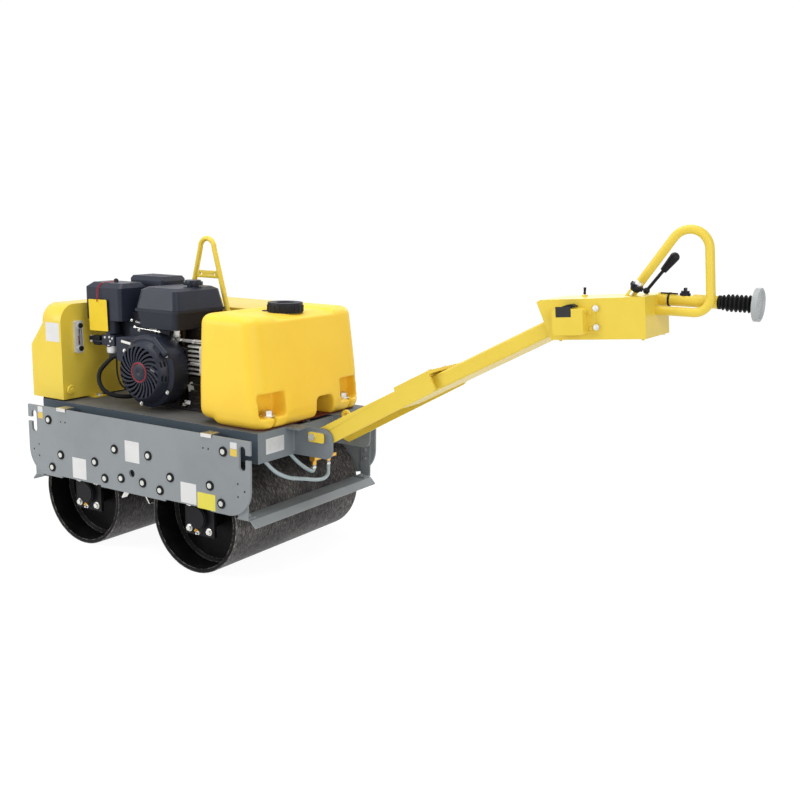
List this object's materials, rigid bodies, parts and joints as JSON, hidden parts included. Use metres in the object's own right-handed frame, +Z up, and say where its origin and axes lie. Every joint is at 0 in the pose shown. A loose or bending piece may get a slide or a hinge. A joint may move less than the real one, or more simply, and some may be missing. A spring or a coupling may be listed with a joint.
{
  "type": "walk-behind tandem vibratory roller",
  "caption": "Walk-behind tandem roller with two smooth drums, engine, water and oil tanks, a lifting loop and a long handle with controls and a stop plate.",
  "frame": {"origin": "on the ground, midway between the front of the oil tank and the stop plate, on the machine's centre plane", "axes": "+X towards the handle, +Z up, -Y is the side of the recoil starter"},
  "size_m": [2.431, 0.69, 1.1358],
  "materials": {
    "grey_paint": "satin",
    "yellow_paint": "gloss",
    "yellow_plastic": "satin",
    "drum_steel": "worn",
    "black_paint": "satin",
    "zinc_steel": "satin",
    "bolt_caps": "gloss",
    "engine_shell": "satin",
    "cast_alloy": "rough",
    "muffler_steel": "matt",
    "shaft_steel": "machined",
    "black_rubber": "matt",
    "clear_hose": "gloss",
    "brass_orange": "satin",
    "black_plastic": "satin",
    "stop_disc": "satin"
  },
  "bodies": {
    "frame": {"side_plate_left": "grey_paint", "side_plate_right": "grey_paint", "deck_frame": "grey_paint", "front_scraper": "grey_paint", "rear_scraper": "grey_paint", "scraper_straps": "grey_paint", "hydraulic_tank": "yellow_paint", "pump_cover": "yellow_paint", "lifting_loop": "yellow_paint", "water_tank": "yellow_plastic", "drum_carriers": "black_paint", "hub_caps": "black_paint", "exciter_housing": "black_paint", "travel_motors": "black_paint", "hydraulic_pump": "black_paint", "muffler_guard": "black_paint", "mount_brackets": "zinc_steel", "hub_fasteners": "zinc_steel", "deck_bolts": "zinc_steel", "pivot_pin": "zinc_steel", "control_linkage": "zinc_steel", "sprinkler_pipes": "zinc_steel", "side_bolts": "bolt_caps", "blower_housing": "engine_shell", "recoil_cover": "engine_shell", "fuel_tank": "engine_shell", "air_cleaner": "engine_shell", "carburettor": "engine_shell", "engine_block": "cast_alloy", "level_gauge": "cast_alloy", "muffler": "muffler_steel", "rubber_mounts": "black_rubber", "engine_lines": "black_rubber", "hydraulic_hoses": "black_rubber", "water_hoses": "clear_hose", "water_valve": "brass_orange", "cap_tether": "black_plastic", "tank_plugs": "black_plastic"},
    "front_drum": {"front_drum": "drum_steel"},
    "rear_drum": {"rear_drum": "drum_steel"},
    "exciter_shaft": {"exciter_shaft": "shaft_steel"},
    "crank": {"crankshaft": "shaft_steel", "fan_wheel": "engine_shell"},
    "recoil_handle": {"recoil_handle": "engine_shell"},
    "water_cap": {"water_cap": "black_plastic"},
    "fuel_cap": {"fuel_cap": "engine_shell"},
    "valve_lever": {"valve_lever": "brass_orange"},
    "arm": {"lower_arm": "yellow_paint", "upper_arm": "yellow_paint", "arm_bolts": "zinc_steel", "console_box": "yellow_paint", "switch_box": "yellow_paint", "handle_loop": "yellow_paint", "bellows": "black_rubber"},
    "stop_plate": {"stop_plate": "stop_disc"},
    "travel_lever": {"travel_lever": "black_plastic"},
    "throttle_knob": {"throttle_knob": "black_plastic"},
    "toggle_switch": {"toggle_switch": "black_plastic"},
    "rocker_switch": {"rocker_switch": "black_plastic"},
    "ignition_key": {"ignition_key": "black_plastic"}
  },
  "joints": [
    {"name": "front_drum_spin", "type": "hinge", "parent": "frame", "child": "front_drum", "pos_m": [-0.93253, 0, 0.178], "axis": [0, 1, 0], "continuous": true},
    {"name": "rear_drum_spin", "type": "hinge", "parent": "frame", "child": "rear_drum", "pos_m": [-0.41253, 0, 0.178], "axis": [0, 1, 0], "continuous": true},
    {"name": "exciter_spin", "type": "hinge", "parent": "frame", "child": "exciter_shaft", "pos_m": [-0.67253, 0, 0.333], "axis": [0, 1, 0], "continuous": true},
    {"name": "crank_spin", "type": "hinge", "parent": "frame", "child": "crank", "pos_m": [-0.71253, 0, 0.612], "axis": [0, 1, 0], "continuous": true},
    {"name": "recoil_pull", "type": "slide", "parent": "frame", "child": "recoil_handle", "axis": [0.6691, 0, 0.7431], "range_m": [0, 0.06], "stiffness_N_per_m": 60},
    {"name": "water_cap_turn", "type": "hinge", "parent": "frame", "child": "water_cap", "pos_m": [-0.29853, 0, 0.824], "axis": [0, 0, 1], "range_deg": [0, 360]},
    {"name": "fuel_cap_turn", "type": "hinge", "parent": "frame", "child": "fuel_cap", "pos_m": [-0.65053, -0.058, 0.893], "axis": [0, 0, 1], "range_deg": [0, 90]},
    {"name": "valve_turn", "type": "hinge", "parent": "frame", "child": "valve_lever", "pos_m": [-0.14653, 0.034, 0.352], "axis": [1, 0, 0], "range_deg": [-90, 0]},
    {"name": "arm_lift", "type": "hinge", "parent": "frame", "child": "arm", "pos_m": [-0.09653, 0, 0.45], "axis": [0, -1, 0], "range_deg": [0, 60]},
    {"name": "stop_push", "type": "slide", "parent": "arm", "child": "stop_plate", "axis": [-1, 0, 0], "range_m": [0, 0.03], "stiffness_N_per_m": 600, "deforming": ["bellows"]},
    {"name": "travel_shift", "type": "hinge", "parent": "arm", "child": "travel_lever", "pos_m": [0.91284, 0.022, 0.95787], "axis": [0, 1, 0], "range_deg": [-25, 25]},
    {"name": "throttle_pull", "type": "slide", "parent": "arm", "child": "throttle_knob", "axis": [0.512, 0, 0.859], "range_m": [0, 0.015]},
    {"name": "toggle_flip", "type": "hinge", "parent": "arm", "child": "toggle_switch", "pos_m": [0.74155, 0.012, 0.94228], "axis": [0, 1, 0], "range_deg": [-16, 0]},
    {"name": "rocker_tip", "type": "hinge", "parent": "arm", "child": "rocker_switch", "pos_m": [0.74855, -0.105, 0.90948], "axis": [0, 1, 0], "range_deg": [-6, 0]},
    {"name": "key_turn", "type": "hinge", "parent": "arm", "child": "ignition_key", "pos_m": [1.01953, 0.018, 0.95217], "axis": [0, 0, 1], "range_deg": [-90, 0]}
  ],
  "couplings": [
    {"joint": "rear_drum_spin", "follows": "front_drum_spin", "ratio": 1}
  ]
}
